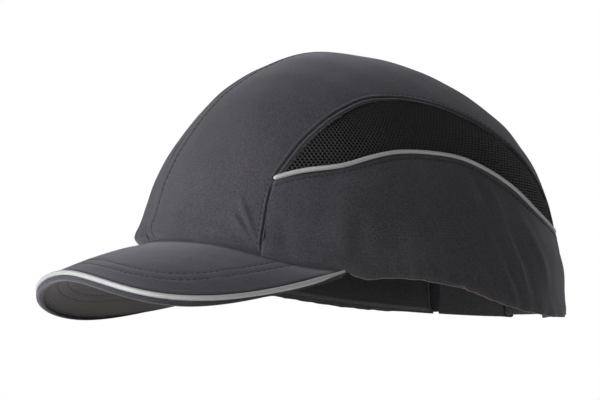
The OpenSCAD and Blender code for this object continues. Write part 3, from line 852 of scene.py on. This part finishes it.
def side_piping(side):
    """Cloth-covered cord in the seam, a little uneven along its length."""
    dense = np.concatenate([curve(MESH_FOOT_PATH, 300), curve(REAR_TOP_PATH, 60, 0.02, 0.995)])
    run = walk(dense, spread(260))
    azimuth = azimuth_of(run)
    lift = -0.75 + 0.08 * np.sin(np.linspace(0, 37, len(run))) + 0.9 * ramp(azimuth, 140, 156)
    path = on_crown(run, lift)
    path[:, 2] += 0.25 * np.sin(np.linspace(0, 23, len(run)) + side)
    obj = tube(f"piping_cord_{SIDE_NAME[side]}", path, outward_at(run),
               round_profile(PIPING_R * 0.82), REFLECTIVE, side == RIGHT, taper=3,
               sizes=1.12 - 0.24 * ramp(azimuth, 55, 110))
    place(obj, "reflective_cloth", f"side_piping_{SIDE_NAME[side]}")


def hem_binding(side, outer):
    """Thin folded edge that follows the side panel's own hem."""
    line = outer[-1]
    azimuth = np.degrees(np.arctan2(line[:, 0], -(line[:, 1] - CROWN_Y)))
    on_hem = (azimuth > PEAK_CORNER_A + 1) & (SIDE_COLUMNS <= HEM_SHARE)
    path = walk(line[on_hem], spread(200))
    away = np.stack([path[:, 0], path[:, 1] - CROWN_Y, 0 * path[:, 0]], -1)
    away /= np.linalg.norm(away, axis=1, keepdims=True)
    path = path - 0.45 * away + [0, 0, 0.1]
    profile = [[0.5, 0.1], [0.46, -0.25], [0.2, -0.5], [-0.3, -0.52], [-0.75, -0.3], [-0.95, 0.8],
               [-1.0, 2.6], [-0.7, 2.6], [-0.5, 0.9]]
    obj = tube(f"hem_fold_{SIDE_NAME[side]}", path, away, profile,
               HEM_EDGE if side == LEFT else LINING, side == RIGHT)
    place(obj, "inner_cloth", f"hem_binding_{SIDE_NAME[side]}")


def arch_binding():
    """Bound edge of the opening at the back."""
    low = float(hem_z(180 - ARCH_HALF_A)) - 1
    run = chart(*rear_arch(np.linspace(4, 176, 140), low))
    path = on_crown(run, 0.5)
    profile = [[1.0, 1.4], [1.2, 0], [0.8, -0.9], [0, -1.2], [-0.8, -0.9], [-1.2, 0], [-1.0, 4.0],
               [-0.7, 4.0], [-0.6, 0.2], [0.6, 0.2], [0.7, 1.4]]
    obj = tube("arch_edge", path, outward_at(run), profile, BINDING)
    place(obj, "inner_cloth", "arch_binding")


def seam_tape():
    """Soft tape over the inside of the middle seam."""
    u, v = spread(120), np.linspace(0, 1, 9)
    front, rear = 1 - level(HEM_HEIGHTS[0] + 2), 1 - level(REAR_TOP_PATH[2][1] + 2)
    y = -front + (front + rear) * u
    x = 0.045 * (2 * v - 1)
    c = np.stack(np.broadcast_arrays(x[:, None], y[None]), -1)
    obj = cloth_slab("middle_tape", on_crown(c, PANEL_T + 0.35), on_crown(c, PANEL_T + 0.6), LINING)
    place(obj, "inner_cloth", "crown_seam_tape")


# -------------------- peak

def peak_edge(u):
    """Edge of the peak, from its right corner at -1 to its left corner at 1."""
    u = np.asarray(u, float)
    corner = skin(PEAK_CORNER_A, level(hem_z(PEAK_CORNER_A)))
    b = [corner, np.array([102, -124, -16]), np.array([75.5, -PEAK_REACH, PEAK_MID_Z]),
         np.array([0, -PEAK_REACH, PEAK_MID_Z])]
    t = (1 - np.abs(u))[..., None]
    p = ((1 - t) ** 3 * b[0] + 3 * (1 - t) ** 2 * t * b[1] + 3 * (1 - t) * t * t * b[2]
         + t ** 3 * b[3])
    p[..., 0] *= np.sign(u)
    return p


def peak_at(u, v, drop, shrink):
    """Points from the crown at v = 0 to the peak's edge at v = 1, less shrink."""
    a = PEAK_CORNER_A * u
    root = skin(a, level(hem_z(a)), PANEL_T + 0.05 + 1.9 * (1 - u ** 4))
    edge = peak_edge(u)
    way = edge - root
    way /= np.linalg.norm(way, axis=-1, keepdims=True)
    end = edge - shrink * way + np.array([0, 0, 0.5])
    v = v[..., None]
    p = (1 - v) * root + v * end
    p[..., 2] += PEAK_CAMBER * np.sin(np.pi * v[..., 0]) * (1 - u ** 4) - drop
    return p


def peak_columns(n):
    """n + 1 places across the peak, closer together toward its corners."""
    return 0.985 * np.sin(np.pi / 2 * np.linspace(-1, 1, n + 1))


def peak_grid(size, drop, shrink):
    return peak_at(*np.meshgrid(peak_columns(size[0]), spread(size[1], 0.5)), drop, shrink)


def row_distance(edge_d, n):
    """Distance from the peak's edge less what the stitch rows stray from it at the sides."""
    u = np.abs(peak_columns(n))
    return edge_d - (2.6 * ramp(u, 0.25, 0.5) + 1.6 * ramp(u, 0.5, 0.75))


TOP_GRID, UNDER_GRID = (220, 60), (200, 50)
STITCH_ROWS = (10.8, 16.2)


def peak_top():
    """Top cover: soft over the stiff board, with two rows of stitches along the edge."""
    base = peak_grid(TOP_GRID, 0.0, 1.0)
    n = normals_of(base, (0, -60, -200))
    edge_d = distance_to(base, peak_edge(np.linspace(-1, 1, 300)))
    root_d = distance_to(base, base[0])
    row_d = row_distance(edge_d, TOP_GRID[0])
    h = 0.05 - 0.5 * bump(edge_d, 1.0, 0.7) + 0.1 * bump(edge_d, 3.2, 1.6)
    for row in STITCH_ROWS:
        h -= 0.3 * bump(row_d, row, 0.5)
    h += 0.1 * ripple(base, 34, 4) + 0.05 * ripple(base, 12, 6)
    h += 1.1 * bump(root_d, 0, 1.3)
    outer = base + h[..., None] * n
    # Its cloth is painted darker than the crown's: painted shade on the peak's top.
    obj = cloth_slab("peak_cloth_top", outer, peak_grid(TOP_GRID, 0.8, 1.2), PEAK_TOP_SHADE_CLOTH)
    place(obj, "crown_cloth", "peak_cover_top")
    for k, row in enumerate(STITCH_ROWS):
        line = iso_line(outer, row_d, row, True)
        stitches(f"stitch_peak_top_{k}", line, obj, "crown_cloth", 2.4, 0.8, 0.2)


def peak_under():
    """Under cover, stitched along the same rows."""
    base = peak_grid(UNDER_GRID, 3.35, 1.8)
    n = normals_of(base, (0, -60, 300))
    edge_d = distance_to(base, peak_edge(np.linspace(-1, 1, 300)) - [0, 0, 3.2])
    row_d = row_distance(edge_d, UNDER_GRID[0])
    h = -0.3 * bump(edge_d, 1.0, 0.9) + 0.06 * ripple(base, 26, 2)
    for row in STITCH_ROWS:
        h -= 0.25 * bump(row_d, row, 0.55)
    outer = base + h[..., None] * n
    obj = cloth_slab("peak_cloth_under", outer, peak_grid(UNDER_GRID, 2.5, 1.8), UNDER_CLOTH)
    place(obj, "inner_cloth", "peak_cover_under")
    for k, row in enumerate(STITCH_ROWS):
        line = iso_line(outer, row_d, row, True)
        stitches(f"stitch_peak_under_{k}", line, obj, "inner_cloth", 2.4, 0.8, 0.2)


def edge_frame(u):
    """Peak edge and the level direction out of it."""
    p = peak_edge(u)
    t = np.gradient(p, axis=0)
    out = np.stack([t[:, 1], -t[:, 0], 0 * u], -1)
    return p, out / np.linalg.norm(out, axis=1, keepdims=True)


def peak_trim():
    """Reflective piping round the peak, over a dark bound edge."""
    u = 0.999 * np.sin(np.pi / 2 * np.linspace(-1, 1, 261))
    path, out = edge_frame(u)
    cord = path + 0.12 * out * np.sin(np.linspace(0, 60, len(u)))[:, None]
    cord = cord - 0.8 * out * ramp(np.abs(u), 0.93, 1)[:, None]
    obj = tube("peak_piping_cord", cord, out, round_profile(PIPING_R, 14), REFLECTIVE, taper=4,
               sizes=1 - 0.35 * ramp(np.abs(u), 0.95, 1))
    place(obj, "reflective_cloth", "peak_piping")
    profile = [[-2.6, -3.9], [-0.9, -4.0], [0.2, -3.9], [0.85, -3.4], [1.05, -2.6], [0.95, -1.8],
               [0.5, -1.45], [-0.8, -1.5], [-0.9, -3.3], [-2.6, -3.35]]
    obj = tube("peak_bound_edge", path, out, profile, BINDING,
               sizes=1 - 0.65 * ramp(np.abs(u), 0.6, 0.97))
    place(obj, "inner_cloth", "peak_binding")


# -------------------- inside the cap

INNER_DEPTH = 4.35       # inner face of the shell, under the outer face of the cloth
BAND_END_A, BAND_H = 146, 28


def soften(x, y, amount):
    """Unit square with rounded corners: a disc when amount is 1."""
    return x * np.sqrt(1 - amount * y * y / 2), y * np.sqrt(1 - amount * x * x / 2)


def foam_pad(name, node, centre, half_w, half_h, amount, side=LEFT):
    """Foam pad with a rounded edge and a pressed border."""
    g = np.sin(np.pi / 2 * np.linspace(-1, 1, 41))
    x, y = np.meshgrid(g, g)
    px, py = soften(x, y, amount)
    c = np.stack([centre[0] + half_w * px, centre[1] + half_h * py], -1)
    rim = (1 - x ** 8) * (1 - y ** 8)
    border = np.maximum(np.abs(x), np.abs(y))
    depth = INNER_DEPTH + 0.3 + 4.4 * rim ** 0.5 - 0.5 * bump(border, 0.8, 0.05)
    outer = on_crown(c, np.full(x.shape, INNER_DEPTH + 0.05))
    obj = cloth_slab(name, on_crown(c, depth), outer, FOAM, side == RIGHT)
    place(obj, "foam", node)


def sweatband():
    """Terry band round the forehead, quilted lightly."""
    a = np.linspace(-BAND_END_A, BAND_END_A, 321)
    t = np.linspace(0, 1, 41)
    steps = [[0.03, 1.3], [0.12, 4.3], [0.4, 4.6], [0.7, 4.6], [1, 4.6]]
    depth = np.interp(t, [k[0] for k in steps], [k[1] for k in steps])
    aa, tt = np.meshgrid(a, t)
    z = hem_z(aa) + 1 + BAND_H * tt
    back = skin(aa, level(z), depth[:, None])
    puff = 1.0 + 0.7 * np.sqrt(np.clip(np.sin(np.pi * np.clip(tt, 0.01, 0.99)), 0, 1))
    puff -= 0.35 * bump(tt, 0.16, 0.03) + 0.35 * bump(tt, 0.9, 0.03)
    puff += 0.12 * ripple(back, 24, 5)
    face = skin(aa, level(z), depth[:, None] + puff)
    obj = cloth_slab("sweatband_terry", face, back, TERRY)
    place(obj, "terry", "sweatband")


def shell_tab(side):
    """Sewn tab over the shell's rear rim."""
    a, z = np.meshgrid(np.linspace(152, 162, 13), np.linspace(40, 64, 25))
    puff = 0.12 * ripple(skin(a, level(z)), 14, side)
    face = skin(a, level(z), INNER_DEPTH + 0.75 + puff)
    obj = cloth_slab(f"tab_{SIDE_NAME[side]}", face, skin(a, level(z), INNER_DEPTH + 0.1), LINING,
                     side == RIGHT)
    place(obj, "inner_cloth", f"shell_tab_{SIDE_NAME[side]}")


# -------------------- strap

STRAP_Y, STRAP_Z, STRAP_R, STRAP_SLOPE, STRAP_TILT = 64, 10.8, 68.2, 0.25, math.radians(5)
STRAP_T, STRAP_HALF_W, STRAP_FROM, STRAP_TO = 1, 8, -56, 24


def strap_grid(r, na, nz):
    """Grid on a cone round the strap's axis: radius r at the strap's mid height."""
    phi, z = np.meshgrid(np.radians(np.linspace(STRAP_FROM, STRAP_TO, na)),
                         np.linspace(-STRAP_HALF_W, STRAP_HALF_W, nz))
    radius = r - STRAP_SLOPE * z
    y = radius * np.cos(phi) - STRAP_R
    cos, sin = math.cos(STRAP_TILT), math.sin(STRAP_TILT)
    return np.stack([radius * np.sin(phi), STRAP_Y + STRAP_R + cos * y + sin * z,
                     STRAP_Z - sin * y + cos * z], -1)


def strap():
    """Webbing strap with thinner edges. It rides on its own body."""
    na, nz = int((STRAP_TO - STRAP_FROM) * 2) + 2, 13
    outer, inner = strap_grid(STRAP_R, na, nz), strap_grid(STRAP_R - STRAP_T, na, nz)
    edge = (np.abs(np.linspace(-1, 1, nz)) > 0.97)[:, None, None]
    middle = (outer + inner) / 2
    outer = np.where(edge, middle + (outer - middle) * 0.35, outer)
    inner = np.where(edge, middle + (inner - middle) * 0.35, inner)
    place(cloth_slab("strap_webbing", outer, inner, WEBBING), "webbing", "adjuster_strap",
          body="strap")


# -------------------- carried-over nodes

SHARP_ANGLE = math.radians(35)


def dress(data, mat):
    data.materials.clear()
    data.materials.append(mat)


def smoothed_part(node, name, mat, slot, body="cap"):
    """Copy of a CAD part with its facets welded, so that its curved faces shade smoothly."""
    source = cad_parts[node]
    data = source.data.copy()
    bm = bmesh.new()
    bm.from_mesh(data)
    bmesh.ops.remove_doubles(bm, verts=bm.verts, dist=1e-6)
    bm.to_mesh(data)
    bm.free()
    own = data.attributes.get("custom_normal")
    if own:
        data.attributes.remove(own)
    data.shade_smooth()
    data.set_sharp_from_angle(angle=SHARP_ANGLE)
    dress(data, mat)
    obj = add_object(name, data)
    obj.matrix_world = source.matrix_world
    place(obj, slot, node, body=body)


def dress_cad():
    """Materials for the CAD parts that show as they are, or as smoothed copies."""
    smoothed_part("impact_shell", "shell_moulding", SHELL, "shell_plastic")
    smoothed_part("buckle_lever", "cam_lever", BUCKLE, "buckle_plastic", "lever")
    for node, mat in {"peak_board": SHELL, "buckle_frame": BUCKLE, "buckle_pin": STEEL,
                      "buckle_anchor_tab": WEBBING, "strap_tunnel_left": LINING,
                      "strap_tunnel_right": LINING}.items():
        dress(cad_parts[node].data, mat)


# -------------------- camera, light, stage

CAMERA_AZIMUTH, CAMERA_ELEVATION, CAMERA_DISTANCE = 66.83, -6.2, 1.0
CAMERA_LENS, CAMERA_SHIFT = 116.2, (-0.0266, -0.0236)
AIM = Vector((0, 0, 0.0664))
FLOOR_HALF, FLOOR_Z = 3.0, -0.06


def aim(obj, azimuth, elevation, distance):
    """Put an object round the cap and turn it to look at the cap."""
    az, el = math.radians(azimuth), math.radians(elevation)
    way = Vector((math.sin(az) * math.cos(el), -math.cos(az) * math.cos(el), math.sin(el)))
    obj.location = AIM + distance * way
    obj.rotation_euler = (-way).to_track_quat("-Z", "Y").to_euler()


def camera():
    data = bpy.data.cameras.new("camera")
    data.sensor_width = 36
    data.lens = CAMERA_LENS
    data.shift_x, data.shift_y = CAMERA_SHIFT
    data.clip_start = 0.05
    obj = add_object("camera", data)
    aim(obj, CAMERA_AZIMUTH, CAMERA_ELEVATION, CAMERA_DISTANCE)
    bpy.context.scene.camera = obj


def area_light(name, azimuth, elevation, distance, size, power, color=(1, 1, 1)):
    data = bpy.data.lights.new(name, "AREA")
    data.shape = "SQUARE"
    data.size = size
    data.energy = power
    data.color = color
    aim(add_object(name, data), azimuth, elevation, distance)


def stage():
    """White surroundings for the camera, dim ones for the light, and a floor seen by light only."""
    bpy.context.scene.view_settings.view_transform = "Standard"
    world = bpy.data.worlds.new("studio")
    bpy.context.scene.world = world
    world.use_nodes = True
    nodes, links = world.node_tree.nodes, world.node_tree.links
    background = nodes["Background"]
    background.inputs["Color"].default_value = (1, 1, 1, 1)
    path = nodes.new("ShaderNodeLightPath")
    where = nodes.new("ShaderNodeTexCoord")
    split = nodes.new("ShaderNodeSeparateXYZ")
    sky = nodes.new("ShaderNodeMapRange")
    settings(sky, {"To Min": 0.18, "To Max": 0.05})
    links.new(where.outputs["Generated"], split.inputs["Vector"])
    links.new(split.outputs["Z"], sky.inputs["Value"])
    strength = nodes.new("ShaderNodeMix")
    links.new(path.outputs["Is Camera Ray"], strength.inputs["Factor"])
    links.new(sky.outputs["Result"], strength.inputs["A"])
    strength.inputs["B"].default_value = 1.0
    links.new(strength.outputs["Result"], background.inputs["Strength"])
    floor = bpy.data.meshes.new("floor")
    corners = [(-1, -1), (1, -1), (1, 1), (-1, 1)]
    floor.from_pydata([(FLOOR_HALF * x, FLOOR_HALF * y, FLOOR_Z) for x, y in corners],
                      [], [(0, 1, 2, 3)])
    mat, _, shader = start_material("floor_white")
    settings(shader, {"Base Color": (0.9, 0.9, 0.9, 1), "Roughness": 0.9,
                      "Emission Color": (1, 0.93, 0.88, 1), "Emission Strength": 0.28})
    floor.materials.append(mat)
    obj = add_object("floor", floor)
    obj.visible_camera = False


# -------------------- assembly

camera()
stage()
area_light("key_front", 5, 12, 1.3, 0.8, 22)
area_light("fill_camera", 60, 10, 1.6, 1.2, 0.35)
area_light("rim_rear", -160, 38, 1.4, 0.6, 3.0)
area_light("low_front", 30, -1.5, 1.2, 0.1, 0.7, (1, 0.95, 0.9))

for side in (LEFT, RIGHT):
    crown_half(side)
    panel = side_half(side)
    mesh_half(side)
    side_piping(side)
    hem_binding(side, panel)
    shell_tab(side)
arch_binding()
seam_tape()
peak_top()
peak_under()
peak_trim()
sweatband()
foam_pad("foam_crown", "crown_pad", (0, 0.05), 0.3, 0.38, 1)
foam_pad("foam_front", "front_pad", (0, -0.7), 0.26, 0.08, 0.5)
foam_pad("foam_rear", "rear_pad", (0, 0.66), 0.24, 0.11, 0.5)
foam_pad("foam_side_left", "side_pad_left", (0.66, 0.06), 0.1, 0.3, 0.5)
foam_pad("foam_side_right", "side_pad_right", (0.66, 0.06), 0.1, 0.3, 0.5, RIGHT)
strap()
dress_cad()
